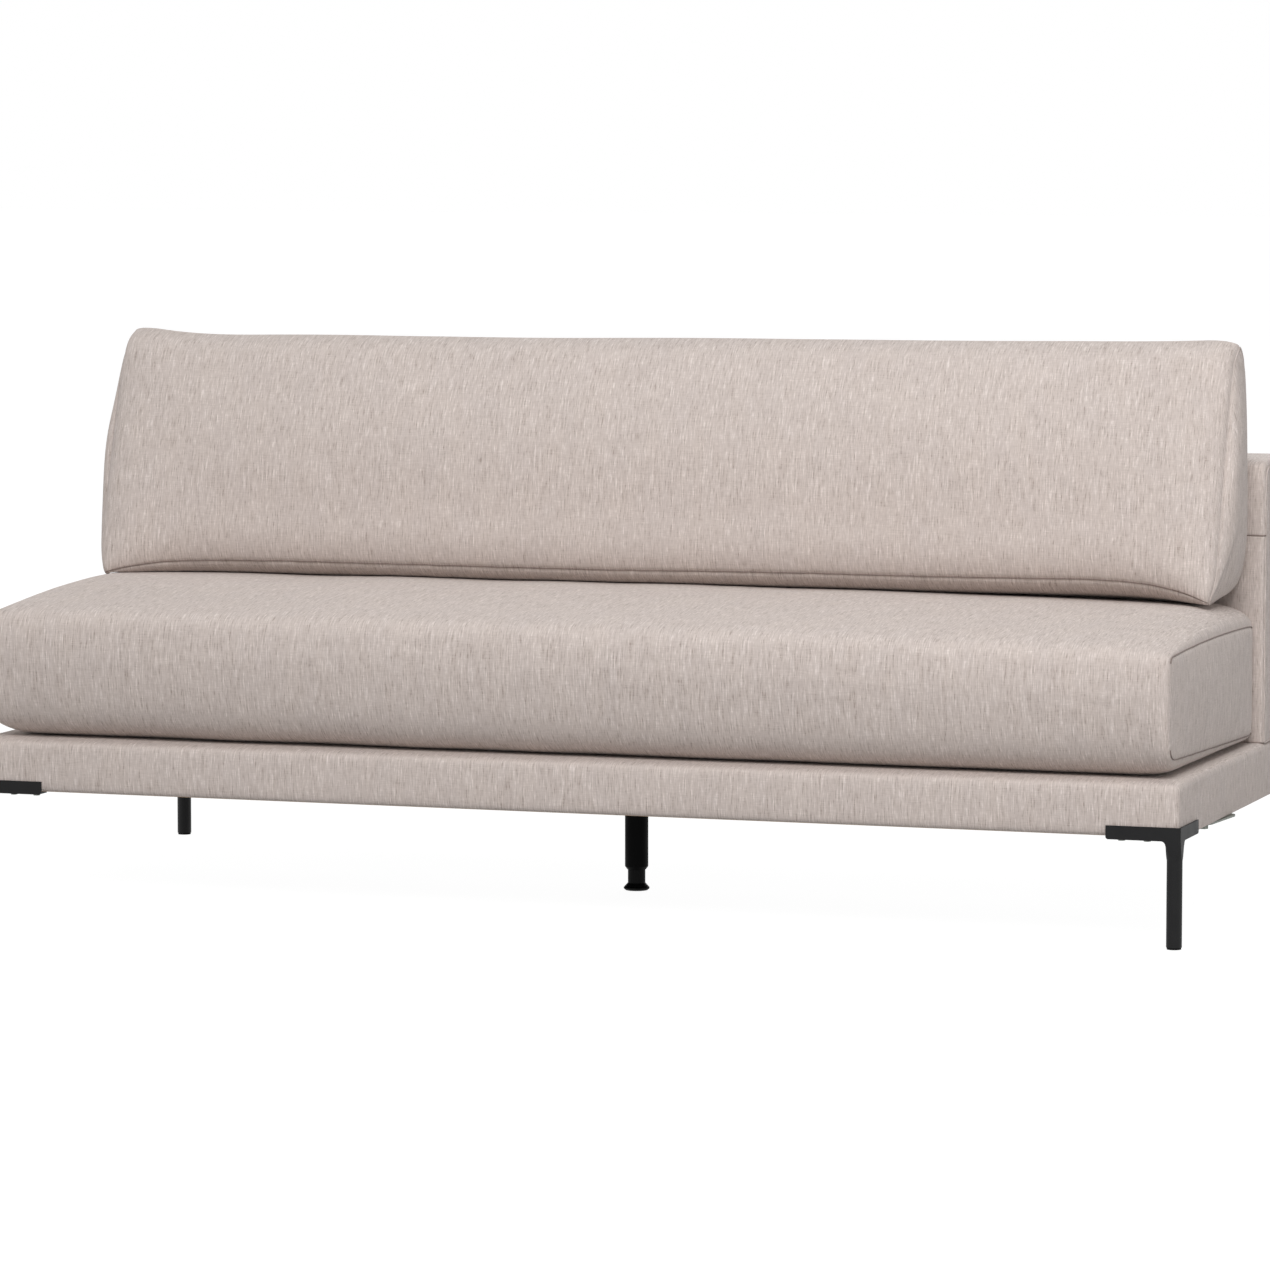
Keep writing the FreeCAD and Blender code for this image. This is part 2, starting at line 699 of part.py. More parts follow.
def make_parts():
    parts = {
        "base_front_rail": long_rail(-rail_y),
        "base_rear_rail": long_rail(rail_inner_y),
        "base_left_rail": end_rail(-rail_x),
        "base_right_rail": end_rail(rail_inner_x),
        "base_backrest_rail": base_backrest_rail(),
        "base_left_cross_rail": cross_rail(-cross_rail_spacing, cross_rail_thickness, cross_rail_height),
        "base_centre_cross_rail": cross_rail(0, centre_rail_width, centre_rail_height),
        "base_right_cross_rail": cross_rail(cross_rail_spacing, cross_rail_thickness, cross_rail_height),
        "base_corner_blocks": base_corner_blocks(),
        "seat_webbing": seat_webbing(),
        "base_padding": base_padding_wrap(),
        "base_cover": base_cover(),
        "dust_cover": dust_cover(),
        "backrest_left_end_panel": backrest_end_panel(-backrest_frame_x),
        "backrest_right_end_panel": backrest_end_panel(backrest_inner_x),
        "backrest_left_rib": backrest_rib(-cross_rail_spacing),
        "backrest_centre_rib": backrest_rib(0),
        "backrest_right_rib": backrest_rib(cross_rail_spacing),
        "backrest_top_board": backrest_top_board(),
        "backrest_front_board": backrest_thin_board(backrest_frame_front),
        "backrest_rear_board": backrest_thin_board(backrest_inner_rear),
        "backrest_bottom_front_rail": backrest_bottom_rail(backrest_inner_front),
        "backrest_bottom_rear_rail": backrest_bottom_rail(backrest_inner_rear - bottom_rail_width),
        "backrest_padding": backrest_padding_wrap(),
        "backrest_cover": backrest_cover(),
        "backrest_bolts": backrest_bolts(),
        "bolt_washers": bolt_washers(),
        "backrest_nuts": backrest_nuts(),
        "leg_screws": wood_screws(leg_screw_places()),
        "leg_glides": leg_glides(),
        "centre_leg_sleeve": centre_leg_sleeve(),
        "centre_leg_screws": wood_screws(support_screw_places()),
        "centre_leg_foot": centre_leg_foot(),
        "link_plate": link_plate(),
        "link_pivot_bolt": link_pivot_bolt(),
        "seat_cushion_cover": seat_cushion_cover(),
        "seat_cushion_core": seat_form(cushion_cover + core_gap),
        "seat_cushion_zip": seat_cushion_zip(),
        "back_cushion_cover": back_cushion_cover(),
        "back_cushion_filling": back_form(cushion_cover + core_gap),
        "back_cushion_zip": back_cushion_zip(),
    }
    leg = corner_leg()
    for name, right, front in corners():
        parts[name + "_leg"] = to_corner(leg, right, front)
    return parts


os.makedirs("parts", exist_ok=True)
for node, shape in make_parts().items():
    shape.exportStep("parts/" + node + ".step")
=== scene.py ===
import json
import math

import bmesh
import bpy
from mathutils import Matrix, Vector, noise
from mathutils.bvhtree import BVHTree


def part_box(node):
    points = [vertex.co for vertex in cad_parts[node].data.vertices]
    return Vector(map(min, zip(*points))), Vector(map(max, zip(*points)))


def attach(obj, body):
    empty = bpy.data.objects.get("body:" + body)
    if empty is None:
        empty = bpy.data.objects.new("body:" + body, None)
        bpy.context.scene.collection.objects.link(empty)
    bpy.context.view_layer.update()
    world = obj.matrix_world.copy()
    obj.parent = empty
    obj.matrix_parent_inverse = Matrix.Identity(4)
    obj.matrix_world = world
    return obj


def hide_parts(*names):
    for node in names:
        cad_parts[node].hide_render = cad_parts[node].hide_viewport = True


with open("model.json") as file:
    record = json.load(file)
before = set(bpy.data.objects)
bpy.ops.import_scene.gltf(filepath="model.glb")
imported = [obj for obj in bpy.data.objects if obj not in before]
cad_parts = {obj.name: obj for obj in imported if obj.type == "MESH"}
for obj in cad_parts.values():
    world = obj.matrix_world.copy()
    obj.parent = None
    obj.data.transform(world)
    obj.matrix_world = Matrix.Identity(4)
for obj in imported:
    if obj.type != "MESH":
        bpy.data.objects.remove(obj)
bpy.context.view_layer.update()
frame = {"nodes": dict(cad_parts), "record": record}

# Armless dining banquette. Metres, floor at Z = 0, front at -Y, right-hand end at +X.

# Camera, fitted to the photograph
camera_place = (3.032, -8.894, 1.261)
camera_heading = 18.90
camera_pitch = 5.15
camera_lens = 164.27
camera_sensor = 36

# Studio
world_light = 0.34
floor_glow = 1.18
floor_glow_share = 0.82
floor_reach = 60.0

# What the cushions and covers stand in for
seat_low, seat_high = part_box("seat_cushion_cover")
back_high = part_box("back_cushion_cover")[1]
base_low, base_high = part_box("base_cover")
backrest_low, backrest_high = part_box("backrest_cover")
sheet_low, sheet_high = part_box("dust_cover")
skin_clearance = 0.0010

# Seat cushion
seat_half = seat_high.x
seat_front = seat_low.y + 0.004
seat_top_front = seat_low.z + 0.211
seat_top_rear = seat_low.z + 0.236
seat_crown_bow = 0.016
seat_front_bow = 0.004
seat_top_radius = 0.038
seat_bottom_radius = 0.105
seat_rear_radius = 0.022
seat_crown_fall = 0.011
seat_left_fall = 0.002
seat_roll_length = 0.070
seat_roll_front = 0.012
seat_roll_rear = 0.035
seat_roll_bottom = 0.030
seat_roll_heel = 0.013
seat_corner_length = 0.030
seat_corner_inset = 0.016
seat_end_bulge = 0.007
seat_end_tightening = 0.7
seat_wave_height = 0.0016
seat_wave_length = 0.16
seat_ring_step = 0.014
seat_hold = 0.45

# Back cushion
back_half = back_high.x - 0.012
back_shift = 0.004
back_rear = backrest_low.y - 0.003
back_front_bottom = back_rear - 0.216
back_front_top = back_rear - 0.092
back_seam_height = 0.489
back_rear_height = 0.492
back_top_height = 0.888
back_tilt = 0.005
back_front_bow = 0.018
back_top_bow = 0.007
back_bottom_bow = 0.012
back_top_radius = 0.036
back_rear_radius = 0.026
back_seam_radius = 0.130
back_ear_rise = 0.012
back_left_ear_rise = 0.006
back_ear_drop = 0.006
back_ear_length = 0.26
back_ear_point = 0.87
back_even_length = 0.42
back_roll_length = 0.055
back_roll_front = 0.024
back_roll_top = 0.014
back_roll_bottom = 0.025
back_heel_inset = 0.012
back_heel_height = 0.060
back_heel_length = 0.120
back_side_seam_share = 0.4
back_end_bulge = 0.024
back_end_flattening = 0.75
back_wave_height = 0.003
back_seam_wave_length = 0.5
back_top_wave_length = 0.35
back_fine_length = 0.070
back_ring_step = 0.013
back_hold = 0.7

# Upholstery of the backrest and the base
backrest_top_radius = 0.022
backrest_edge_radius = 0.008
backrest_bottom_radius = 0.004
backrest_seam_pinch = 0.003
backrest_bow = 0.002
backrest_rear_bow = 0.003
backrest_half = backrest_high.x - 0.002
backrest_end_bulge = 0.002
backrest_fine_length = 0.030
backrest_seam_height = backrest_high.z - 0.119
base_top_radius = 0.010
base_bottom_radius = 0.012
base_front_drop = 0.0055
base_slope_length = 0.050
base_slope_radius = 0.012
base_bow = 0.0012
base_half = base_high.x - 0.001
base_end_bulge = 0.001
base_fine_length = 0.040
cover_ring_step = 0.020
hem_inner = sheet_high.x
hem_recess = 0.0019
hem_step = 0.0005
hem_edge_radius = 0.0004
hem_fold_radius = 0.0002

# Dust cover
sheet_margin = 0.001
sheet_columns = 96
sheet_rows = 40
sheet_lift = 0.0007
sheet_ripple_height = 0.0004
sheet_ripple_length = 0.09
sheet_thickness = 0.0006

# Zips
zip_inset = 0.0002
zip_end = 0.004
zip_bevel = 0.0002
zip_tape_depth = 0.0006
zip_tape_thickness = 0.0008
zip_tooth_pitch = 0.006
zip_tooth_depth = 0.0002
zip_tooth_size = (0.0028, 0.0008, 0.0044)
zip_slider_place = 0.012
zip_slider_depth = 0.0001
zip_slider_size = (0.011, 0.0010, 0.0075)

# How a cover swells as cloth
cloth_frames = 20
cloth_pressure = 4.0
cloth_reach = 0.024

# Seams
seam_depth = 0.0022
seam_lift = 0.0011
seam_radius = 0.0011
seam_margin = 0.0035
seam_turn = 3
seam_pucker_length = 0.024
seam_pucker_share = 0.5

# End panels
panel_rings = 11
panel_reach = 0.1
panel_ring_gap = 0.06
panel_middle = 0.04
panel_roundness = 2.6
panel_smoothing = 20

# Fabric
end_face_slope = 0.72
tone_contrast = 0.22

# Outlines
outline_softening = 10
sharp_radius = 0.006


def spread(first, last, count):
    """Even values from first to last, without the last."""
    return [first + (last - first) * step / count for step in range(count)]


def mesh_object(name, vertices, faces):
    mesh = bpy.data.meshes.new(name)
    mesh.from_pydata([tuple(vertex) for vertex in vertices], [], faces)
    mesh.update()
    obj = bpy.data.objects.new(name, mesh)
    bpy.context.collection.objects.link(obj)
    for polygon in mesh.polygons:
        polygon.use_smooth = True
    return obj


def bowed_edge(start, end, bow, count):
    """Points from start towards end on a shallow arc that stands out on the left-hand side."""
    along = end - start
    outward = Vector((-along.y, along.x)).normalized()
    return [start + along * t + outward * (4 * bow * t * (1 - t)) for t in spread(0, 1, count)]


def outline(corners):
    """A closed outline of (y, z) points through rounded corners, and each corner's index in it.

    A corner is (y, z, radius, steps round it, bow of the edge that follows, steps along that edge).
    The points run backwards, from the last corner to the first."""
    places = [Vector(corner[:2]) for corner in corners]
    points, middles = [], []
    for index, (y, z, radius, steps, bow, edge_steps) in enumerate(corners):
        here, before = places[index], places[index - 1]
        after = places[(index + 1) % len(corners)]
        next_radius = corners[(index + 1) % len(corners)][2]
        start = here + (before - here).normalized() * radius
        end = here + (after - here).normalized() * radius
        middles.append(len(points) + steps // 2)
        for t in spread(0, 1, steps):
            points.append(start * (1 - t) ** 2 + here * (2 * t * (1 - t)) + end * t ** 2)
        next_start = after + (here - after).normalized() * next_radius
        points += bowed_edge(end, next_start, bow, edge_steps)
    sharp = [middle for middle, corner in zip(middles, corners) if corner[2] < sharp_radius]
    points = soften(points, sharp)[::-1]
    return points, [len(points) - 1 - middle for middle in middles]


def soften(points, sharp):
    """Even out a closed outline, apart from the corners that stay sharp."""
    count = len(points)
    still = {(middle + beside) % count for middle in sharp for beside in (-2, -1, 0, 1, 2)}
    for step in range(outline_softening):
        evened = [point / 2 + (points[index - 1] + points[(index + 1) % count]) / 4
                  for index, point in enumerate(points)]
        points = [point if index in still else evened[index] for index, point in enumerate(points)]
    return points


def end_panel(ring, bulge):
    """Rings that close an end: they turn into ellipses towards the middle and stand out by the bulge."""
    middle = sum(ring, Vector()) / len(ring)
    side = math.copysign(1, middle.x)
    reach_y = max(abs(point.y - middle.y) for point in ring)
    reach_z = max(abs(point.z - middle.z) for point in ring)
    first = 1 - seam_margin / panel_reach
    rings = []
    for size in [first] + spread(first - panel_ring_gap, panel_middle, panel_rings):
        loop = []
        for point in ring:
            arm = point - middle
            ellipse = 1 / math.hypot(arm.y / reach_y, arm.z / reach_z)
            arm *= size * (1 + (1 - size) * (ellipse - 1))
            loop.append(middle + arm + Vector((side * bulge * (1 - size ** panel_roundness), 0, 0)))
        rings.append(loop)
    return rings


def strip_faces(rows, size):
    """Four-sided faces between neighbouring rings of that size."""
    faces = []
    for row in range(rows - 1):
        for column in range(size):
            beside = (column + 1) % size
            faces.append((row * size + column, row * size + beside,
                          (row + 1) * size + beside, (row + 1) * size + column))
    return faces


def settle_panels(obj, panels):
    """Turn all faces outwards and even out the bulge of the end panels."""
    bm = bmesh.new()
    bm.from_mesh(obj.data)
    bmesh.ops.recalc_face_normals(bm, faces=bm.faces)
    bm.verts.ensure_lookup_table()
    moved = [bm.verts[index] for index in panels]
    for step in range(panel_smoothing):
        bmesh.ops.smooth_vert(bm, verts=moved, factor=0.5, use_axis_x=True)
    bm.to_mesh(obj.data)
    bm.free()


def loft(name, rings, end_bulge):
    """A closed mesh through the rings, with an end panel at both ends.

    Returns it with the size of a ring, the rows of the two end seams and the vertices of the panels."""
    first = end_panel(rings[0], end_bulge)[::-1]
    last = end_panel(rings[-1], end_bulge)
    loops = first + rings + last
    size = len(rings[0])
    vertices = [point for loop in loops for point in loop]
    faces = strip_faces(len(loops), size)
    for row, flip in ((0, True), (len(loops) - 1, False)):
        middle = len(vertices)
        vertices.append(sum(loops[row], Vector()) / size)
        for column in range(size):
            edge = [row * size + column, row * size + (column + 1) % size]
            faces.append(tuple((edge[::-1] if flip else edge) + [middle]))
    obj = mesh_object(name, vertices, faces)
    seam_rows = [len(first), len(first) + len(rings) - 1]
    panels = [index for index in range(len(vertices))
              if not seam_rows[0] * size <= index < (seam_rows[1] + 1) * size]
    settle_panels(obj, panels)
    return obj, size, seam_rows, panels


def stations(half, fine_length, fine_steps, coarse_step):
    """Places along X from the right-hand end to the left, closer together near both ends."""
    right = [half - fine_length * (step / fine_steps) ** 1.5 for step in range(fine_steps + 1)]
    inner = right[-1]
    middle = spread(inner, -inner, 2 * round(inner / coarse_step))[1:]
    return right + middle + [-x for x in right[::-1]]


def end_turn(x, half, length):
    """How far an edge has rolled over towards an end: 0 along the piece, 1 at the end itself."""
    roll = max(0.0, 1 - (half - abs(x)) / length)
    return 1 - math.sqrt(max(0.0, 1 - roll ** 2))


def ripple(place, length, seed):
    """Soft unevenness between -1 and 1 whose waves are about that long."""
    return noise.noise(Vector((place[0] / length + seed, place[1] / length, place[2] / length)))


def cloth_modifier(obj, group):
    """Cloth under pressure from inside, held in place by the weights of the group."""
    cloth = obj.modifiers.new("cloth", "CLOTH")
    cloth.point_cache.frame_start = 1
    cloth.point_cache.frame_end = cloth_frames
    settings = cloth.settings
    settings.quality = 4
    settings.mass = 0.3
    settings.tension_stiffness = 20
    settings.compression_stiffness = 20
    settings.shear_stiffness = 8
    settings.bending_stiffness = 15
    settings.shrink_min = -0.001
    settings.vertex_group_mass = group.name
    settings.pin_stiffness = 0.6
    settings.use_pressure = True
    settings.uniform_pressure_force = cloth_pressure
    settings.effector_weights.gravity = 0
    cloth.collision_settings.use_collision = False
    return cloth


def puff(obj, pinned, hold):
    """Let the cover swell on its filling as cloth: seams stay, the rest is held softly by the filling."""
    scene = bpy.context.scene
    before = [vertex.co.copy() for vertex in obj.data.vertices]
    group = obj.vertex_groups.new(name="held")
    group.add(list(range(len(before))), hold, "REPLACE")
    group.add(pinned, 1.0, "REPLACE")
    cloth = cloth_modifier(obj, group)
    for number in range(1, cloth_frames + 1):
        scene.frame_set(number)
    swollen = obj.evaluated_get(bpy.context.evaluated_depsgraph_get()).to_mesh()
    after = [vertex.co.copy() for vertex in swollen.vertices]
    obj.modifiers.remove(cloth)
    obj.vertex_groups.remove(group)
    for vertex, start, end in zip(obj.data.vertices, before, after):
        move = end - start
        vertex.co = start + move * min(1.0, cloth_reach / max(move.length, 1e-9))
    scene.frame_set(1)


def sink(obj, indices, share=1.0):
    """Draw the vertices of a seam into the piece, and return where the sewing thread lies."""
    normals = {index: obj.data.vertices[index].normal.copy() for index in indices}
    thread = {}
    for index, normal in normals.items():
        place = obj.data.vertices[index].co
        pucker = 1 + seam_pucker_share * ripple(place, seam_pucker_length, 2.3)
        place -= normal * share * seam_depth * pucker
        thread[index] = place + normal * share * seam_lift
    return thread


def smooth(obj):
    modifier = obj.modifiers.new("smooth", "SUBSURF")
    modifier.levels = 1
    modifier.render_levels = 1


def seam_line(name, thread, indices, body, closed, cloth="seam"):
    """A fine line where two pieces of cloth are sewn together. Its default look, seam, is the cover fabric
    painted darker: painted shade of the seam groove.
    """
    points = [thread[index] for index in indices]
    curve = bpy.data.curves.new(name, "CURVE")
    curve.dimensions = "3D"
    curve.bevel_depth = seam_radius
    curve.bevel_resolution = 2
    curve.use_fill_caps = True
    spline = curve.splines.new("POLY")
    spline.points.add(len(points) - 1)
    for target, point in zip(spline.points, points):
        target.co = (*point, 1)
    spline.use_cyclic_u = closed
    obj = bpy.data.objects.new(name, curve)
    bpy.context.collection.objects.link(obj)
    obj.data.materials.append(materials[cloth])
    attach(obj, body)


def row_indices(size, row):
    return [row * size + column for column in range(size)]


def column_indices(size, rows, column):
    return [row * size + column for row in range(rows[0], rows[1] + 1)]


def dress(obj, body, *nodes):
    """Give a cover its fabric, hide the nodes it replaces and attach it to the body it rides on."""
    obj.data.materials.append(materials["upholstery fabric"])
    smooth(obj)
    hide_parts(*nodes)
    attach(obj, body)


# Materials
def new_material(name):
    material = bpy.data.materials.new(name)
    material.use_nodes = True
    nodes = material.node_tree.nodes
    return material, nodes, material.node_tree.links, nodes["Principled BSDF"]


def linear(red, green, blue):
    """A colour as read from a picture, in the renderer's own values."""
    return tuple(((value / 255 + 0.055) / 1.055) ** 2.4 for value in (red, green, blue)) + (1,)


def between(first, second, share):
    """A colour on the way from the first to the second."""
    return tuple((1 - share) * start + share * end for start, end in zip(first, second))


def grey(value):
    return (value, value, value, 1)


def ramp(nodes, links, source, stops):
    node = nodes.new("ShaderNodeValToRGB")
    elements = node.color_ramp.elements
    while len(elements) < len(stops):
        elements.new(0.5)
    for element, (place, colour) in zip(elements, stops):
        element.position, element.color = place, colour
    links.new(source, node.inputs["Fac"])
    return node.outputs["Color"]


def grain_noise(nodes, links, vector, stretch, detail, roughness):
    """Noise with that many grains to the metre along each axis."""
    scale = nodes.new("ShaderNodeVectorMath")
    scale.operation = "MULTIPLY"
    links.new(vector, scale.inputs[0])
    scale.inputs[1].default_value = stretch
    texture = nodes.new("ShaderNodeTexNoise")
    texture.inputs["Scale"].default_value = 1
    texture.inputs["Detail"].default_value = detail
    texture.inputs["Roughness"].default_value = roughness
    links.new(scale.outputs[0], texture.inputs["Vector"])
    return texture.outputs["Fac"]


def feed(links, pins, values):
    """Set each input to its value, or link it where the value is another node's output."""
    for pin, value in zip(pins, values):
        if hasattr(value, "node"):
            links.new(value, pin)
        else:
            pin.default_value = value


def mixed(nodes, links, kind, factor, first, second):
    """A blend of two values."""
    node = nodes.new("ShaderNodeMix")
    node.data_type = kind
    feed(links, [pin for pin in node.inputs if pin.enabled], (factor, first, second))
    return next(pin for pin in node.outputs if pin.enabled)


def math_node(nodes, links, operation, first, second):
    node = nodes.new("ShaderNodeMath")
    node.operation = operation
    feed(links, node.inputs, (first, second))
    return node.outputs[0]


def bumped(nodes, links, shader, height, strength, distance):
    bump = nodes.new("ShaderNodeBump")
    bump.inputs["Strength"].default_value = strength
    bump.inputs["Distance"].default_value = distance
    links.new(height, bump.inputs["Height"])
    links.new(bump.outputs["Normal"], shader.inputs["Normal"])


def thread_places(nodes, links):
    """Places on a piece, turned a quarter round on its ends so that the threads run up there too."""
    place = nodes.new("ShaderNodeTexCoord")
    apart = nodes.new("ShaderNodeSeparateXYZ")
    links.new(place.outputs["Normal"], apart.inputs[0])
    sideways = math_node(nodes, links, "ABSOLUTE", apart.outputs["X"], 0)
    on_end = math_node(nodes, links, "GREATER_THAN", sideways, end_face_slope)
    turn = nodes.new("ShaderNodeVectorRotate")
    turn.rotation_type = "Z_AXIS"
    turn.inputs["Angle"].default_value = math.pi / 2
    links.new(place.outputs["Object"], turn.inputs["Vector"])
    return mixed(nodes, links, "VECTOR", on_end, place.outputs["Object"], turn.outputs[0])


def upholstery(name, dark, middle, light):
    """Melange weave: slub threads run up the fronts and front to back on the tops."""
    material, nodes, links, shader = new_material(name)
    vector = thread_places(nodes, links)
    slub = grain_noise(nodes, links, vector, (520, 44, 40), 2, 0.5)
    thread = grain_noise(nodes, links, vector, (1000, 110, 90), 2, 0.5)
    weft = grain_noise(nodes, links, vector, (70, 640, 640), 1, 0.5)
    patch = grain_noise(nodes, links, vector, (26, 12, 12), 3, 0.55)
    warp = mixed(nodes, links, "FLOAT", 0.42, slub, thread)
    tone = mixed(nodes, links, "FLOAT", 0.16, warp, weft)
    shade = between(middle, dark, tone_contrast)
    glow = between(middle, light, tone_contrast)
    colour = ramp(nodes, links, tone, ((0.36, dark), (0.43, shade), (0.56, glow), (0.64, light)))
    warm = ramp(nodes, links, patch, ((0.30, (0.98, 0.972, 0.972, 1)), (0.70, (1.012, 1.0, 0.99, 1))))
    tinted = nodes.new("ShaderNodeMix")
    tinted.data_type, tinted.blend_type = "RGBA", "MULTIPLY"
    tinted.inputs["Factor"].default_value = 1
    links.new(colour, tinted.inputs[6])
    links.new(warm, tinted.inputs[7])
    links.new(tinted.outputs[2], shader.inputs["Base Color"])
    links.new(ramp(nodes, links, tone, ((0.3, grey(0.98)), (0.7, grey(0.86)))), shader.inputs["Roughness"])
    shader.inputs["Specular IOR Level"].default_value = 0.2
    shader.inputs["Sheen Weight"].default_value = 0.12
    shader.inputs["Sheen Roughness"].default_value = 0.5
    bumped(nodes, links, shader, tone, 0.35, 0.0012)
    return material


def painted(name, colour, fleck, roughness, gloss):
    """Powder coat: an even colour with a fine orange-peel skin."""
    material, nodes, links, shader = new_material(name)
    place = nodes.new("ShaderNodeTexCoord")
    peel = grain_noise(nodes, links, place.outputs["Object"], (900, 900, 900), 2, 0.5)
    cloud = grain_noise(nodes, links, place.outputs["Object"], (22, 22, 22), 3, 0.5)
    links.new(ramp(nodes, links, cloud, ((0.35, colour), (0.7, fleck))), shader.inputs["Base Color"])
    low, high = roughness
    links.new(ramp(nodes, links, cloud, ((0.3, grey(low)), (0.7, grey(high)))), shader.inputs["Roughness"])
    shader.inputs["Specular IOR Level"].default_value = gloss
    bumped(nodes, links, shader, peel, 0.12, 0.0004)
    return material


def plated(name, dark, light):
    """Dull zinc plate with brushed cloudiness."""
    material, nodes, links, shader = new_material(name)
    shader.inputs["Metallic"].default_value = 0.85
    place = nodes.new("ShaderNodeTexCoord")
    cloud = grain_noise(nodes, links, place.outputs["Object"], (60, 160, 60), 4, 0.6)
    links.new(ramp(nodes, links, cloud, ((0.3, dark), (0.7, light))), shader.inputs["Base Color"])
    links.new(ramp(nodes, links, cloud, ((0.3, grey(0.5)), (0.7, grey(0.36)))), shader.inputs["Roughness"])
    bumped(nodes, links, shader, cloud, 0.1, 0.0003)
    return material


def grained(name, dark, light, stretch):
    """Wood whose grain runs along X, or chipped board where the stretch is even."""
    material, nodes, links, shader = new_material(name)
    place = nodes.new("ShaderNodeTexCoord")
    grain = grain_noise(nodes, links, place.outputs["Object"], stretch, 5, 0.6)
    links.new(ramp(nodes, links, grain, ((0.3, dark), (0.7, light))), shader.inputs["Base Color"])
    shader.inputs["Roughness"].default_value = 0.7
    bumped(nodes, links, shader, grain, 0.2, 0.0006)
    return material


def matted(name, dark, light, stretch):
    """Loose fibre, foam or nonwoven cloth."""
    material, nodes, links, shader = new_material(name)
    place = nodes.new("ShaderNodeTexCoord")
    fibre = grain_noise(nodes, links, place.outputs["Object"], stretch, 4, 0.7)
    links.new(ramp(nodes, links, fibre, ((0.3, dark), (0.7, light))), shader.inputs["Base Color"])
    shader.inputs["Roughness"].default_value = 0.95
    bumped(nodes, links, shader, fibre, 0.4, 0.0008)
    return material


# By material slot, with darker looks of their own as painted shade: for the seams, the shade of their
# grooves, and for the node centre_leg_sleeve, the shade under the bench
materials = {
    "upholstery fabric": upholstery("upholstery_fabric", linear(166, 153, 146), linear(199, 188, 182),
                                    linear(224, 214, 209)),
    # seam: the cover fabric painted darker along the sewing lines, painted shade of the seam grooves
    "seam": upholstery("seam_painted_shade_fabric", linear(112, 99, 93), linear(132, 119, 113), linear(152, 140, 134)),
    "foam": matted("foam", linear(226, 216, 190), linear(240, 232, 210), (500, 500, 500)),
    "fibre filling": matted("fibre_filling", linear(228, 228, 226), linear(245, 245, 243), (120, 160, 120)),
    "timber": grained("timber", linear(190, 150, 104), linear(224, 190, 142), (6, 90, 90)),
    "board": grained("board", linear(176, 140, 98), linear(210, 178, 134), (110, 110, 110)),
    "webbing": matted("webbing", linear(58, 55, 50), linear(92, 88, 80), (90, 600, 90)),
    "dust cover cloth": matted("dust_cover_cloth", linear(20, 20, 20), linear(44, 44, 44), (420, 420, 420)),
    "zip": matted("zip_tape", linear(150, 138, 128), linear(176, 164, 154), (700, 700, 700)),
    "black steel": painted("black_steel", linear(17, 17, 18), linear(24, 24, 25), (0.46, 0.58), 0.22),
    # centre_leg_sleeve: the legs' black steel painted darker still, painted shade under the bench
    "centre_leg_sleeve": painted("black_sleeve_painted_shade", linear(5, 5, 5), linear(7, 7, 7), (0.5, 0.6), 0.06),
    "zinc steel": plated("zinc_steel", linear(96, 100, 94), linear(132, 136, 128)),
    "black plastic": painted("black_plastic", linear(8, 8, 8), linear(12, 12, 12), (0.55, 0.65), 0.12),
}


def base_top(y):
    """Height of the base's padded top, which falls away towards its front edge."""
    share = min(1.0, max(0.0, 1 - (y - base_low.y) / base_slope_length))
    return base_high.z - base_front_drop * share


# Seat cushion
def seat_ring(x):
    """Section of the seat cushion, from the lower rear corner forwards, up and back."""
    turn = end_turn(x, seat_half, seat_roll_length)
    inset = seat_corner_inset * end_turn(x, seat_half, seat_corner_length)
    fall = (seat_crown_fall if x > 0 else seat_left_fall) * (x / seat_half) ** 2
    bottom = seat_low.z + skin_clearance
    front = seat_front + inset
    rear = seat_high.y - skin_clearance - inset
    soft = 1 - seat_end_tightening * turn
    front_bottom = bottom + seat_roll_bottom * turn - base_front_drop * soft
    front_top = seat_top_front - fall - seat_roll_front * turn
    rear_top = seat_top_rear - fall - seat_roll_rear * turn
    points, corners = outline((
        (rear, bottom + seat_roll_heel * turn, seat_rear_radius * soft, 6, 0.0, 32),
        (front, front_bottom, seat_bottom_radius * soft, 14, seat_front_bow * soft, 12),
        (front, front_top, seat_top_radius * soft, 10, seat_crown_bow * soft, 34),
        (rear, rear_top, seat_rear_radius * soft, 6, 0.0, 14)))
    wave = seat_wave_height * ripple((x, 0, 0), seat_wave_length, 3.1)
    rear_low, front_low, front_high, rear_high = corners
    top_seam = list(range(rear_high, front_high + seam_turn + 1))
    bottom_seam = list(range(front_low - seam_turn, rear_low + 1))
    return [Vector((x, y + wave, z + wave)) for y, z in points], (top_seam, bottom_seam)


def seat_cushion():
    xs = stations(seat_half, seat_roll_length, fine_steps=10, coarse_step=seat_ring_step)
    rings = [seat_ring(x) for x in xs]
    top_seam, bottom_seam = rings[0][1]
    obj, size, seam_rows, panels = loft("seat_cushion", [ring for ring, sewn in rings], seat_end_bulge)
    pinned = [index for row in seam_rows for index in row_indices(size, row)]
    puff(obj, pinned + panels, seat_hold)
    for vertex in obj.data.vertices:
        vertex.co.y = min(vertex.co.y, seat_high.y)
        vertex.co.z = max(vertex.co.z, base_top(vertex.co.y) + skin_clearance)
    obj.data.update()
    thread = sink(obj, [row * size + column for row in seam_rows for column in top_seam + bottom_seam])
    for row, side in zip(seam_rows, ("right", "left")):
        for columns, edge in ((top_seam, "_top_seam"), (bottom_seam, "_bottom_seam")):
            indices = [row * size + column for column in columns]
            seam_line("seat_" + side + edge, thread, indices, "seat_cushion", False)
    dress(obj, "seat_cushion", "seat_cushion_cover", "seat_cushion_core")
    zip_fastener("seat_zip", "seat_cushion_zip", "seat_cushion")
    return obj


